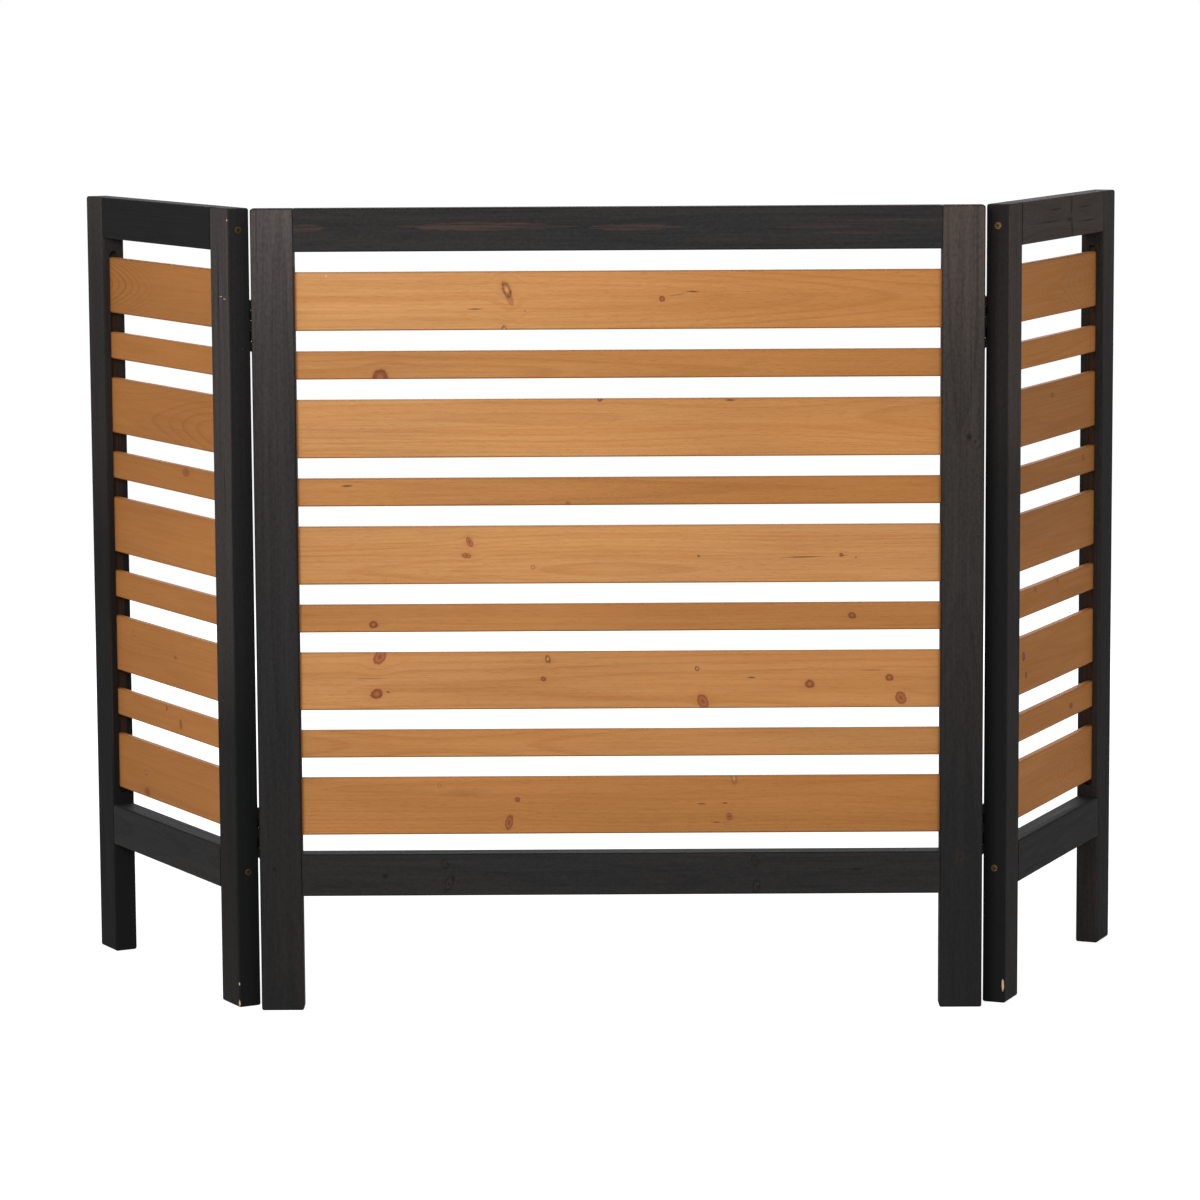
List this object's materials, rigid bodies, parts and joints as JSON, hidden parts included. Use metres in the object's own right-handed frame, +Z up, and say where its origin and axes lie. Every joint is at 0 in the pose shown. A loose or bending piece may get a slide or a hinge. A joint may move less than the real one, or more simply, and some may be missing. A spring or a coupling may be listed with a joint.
{
  "type": "folding garden fence",
  "caption": "Free-standing wooden garden fence: a wide slatted panel with two narrower slatted wings hinged to its sides, which fold flat behind it.",
  "frame": {"origin": "middle of the footprint of the whole fence, at floor level, wings folded as pictured", "axes": "+X along the centre panel, to the right seen from the front; +Y from its front to its back; +Z up"},
  "size_m": [1.3502, 0.4436, 1],
  "materials": {
    "black_stained_wood": "planed softwood in a thin black stain",
    "brown_stained_wood": "planed knotty softwood in an orange-brown stain",
    "bare_wood": "unfinished hardwood",
    "yellow_zinc": "yellow zinc plated steel",
    "bronzed_steel": "antique bronze plated steel",
    "bright_steel": "bright steel"
  },
  "bodies": {
    "centre": {"centre_left_post": "black_stained_wood", "centre_right_post": "black_stained_wood", "centre_top_rail": "black_stained_wood", "centre_bottom_rail": "black_stained_wood", "centre_slat_1": "brown_stained_wood", "centre_slat_2": "brown_stained_wood", "centre_slat_3": "brown_stained_wood", "centre_slat_4": "brown_stained_wood", "centre_slat_5": "brown_stained_wood", "centre_slat_6": "brown_stained_wood", "centre_slat_7": "brown_stained_wood", "centre_slat_8": "brown_stained_wood", "centre_slat_9": "brown_stained_wood", "centre_rail_screws": "yellow_zinc", "centre_dowels": "bare_wood", "centre_brads": "bright_steel", "centre_hinge_screws": "bronzed_steel", "upper_left_hinge_fixed_leaf": "bronzed_steel", "lower_left_hinge_fixed_leaf": "bronzed_steel", "upper_right_hinge_fixed_leaf": "bronzed_steel", "lower_right_hinge_fixed_leaf": "bronzed_steel", "hinge_pins": "bronzed_steel"},
    "left_wing": {"left_wing_outer_post": "black_stained_wood", "left_wing_hinge_post": "black_stained_wood", "left_wing_top_rail": "black_stained_wood", "left_wing_bottom_rail": "black_stained_wood", "left_wing_slat_1": "brown_stained_wood", "left_wing_slat_2": "brown_stained_wood", "left_wing_slat_3": "brown_stained_wood", "left_wing_slat_4": "brown_stained_wood", "left_wing_slat_5": "brown_stained_wood", "left_wing_slat_6": "brown_stained_wood", "left_wing_slat_7": "brown_stained_wood", "left_wing_slat_8": "brown_stained_wood", "left_wing_slat_9": "brown_stained_wood", "left_wing_rail_screws": "yellow_zinc", "left_wing_dowels": "bare_wood", "left_wing_brads": "bright_steel", "left_wing_hinge_screws": "bronzed_steel", "upper_left_hinge_moving_leaf": "bronzed_steel", "lower_left_hinge_moving_leaf": "bronzed_steel"},
    "right_wing": {"right_wing_hinge_post": "black_stained_wood", "right_wing_outer_post": "black_stained_wood", "right_wing_top_rail": "black_stained_wood", "right_wing_bottom_rail": "black_stained_wood", "right_wing_slat_1": "brown_stained_wood", "right_wing_slat_2": "brown_stained_wood", "right_wing_slat_3": "brown_stained_wood", "right_wing_slat_4": "brown_stained_wood", "right_wing_slat_5": "brown_stained_wood", "right_wing_slat_6": "brown_stained_wood", "right_wing_slat_7": "brown_stained_wood", "right_wing_slat_8": "brown_stained_wood", "right_wing_slat_9": "brown_stained_wood", "right_wing_rail_screws": "yellow_zinc", "right_wing_dowels": "bare_wood", "right_wing_brads": "bright_steel", "right_wing_hinge_screws": "bronzed_steel", "upper_right_hinge_moving_leaf": "bronzed_steel", "lower_right_hinge_moving_leaf": "bronzed_steel"}
  },
  "joints": [
    {"name": "left_fold", "type": "hinge", "parent": "centre", "child": "left_wing", "pos_m": [-0.43032, -0.18926, 0.5], "axis": [0, 0, -1], "range_deg": [-61, 119]},
    {"name": "right_fold", "type": "hinge", "parent": "centre", "child": "right_wing", "pos_m": [0.47088, -0.18926, 0.5], "axis": [0, 0, 1], "range_deg": [-67, 113]}
  ]
}
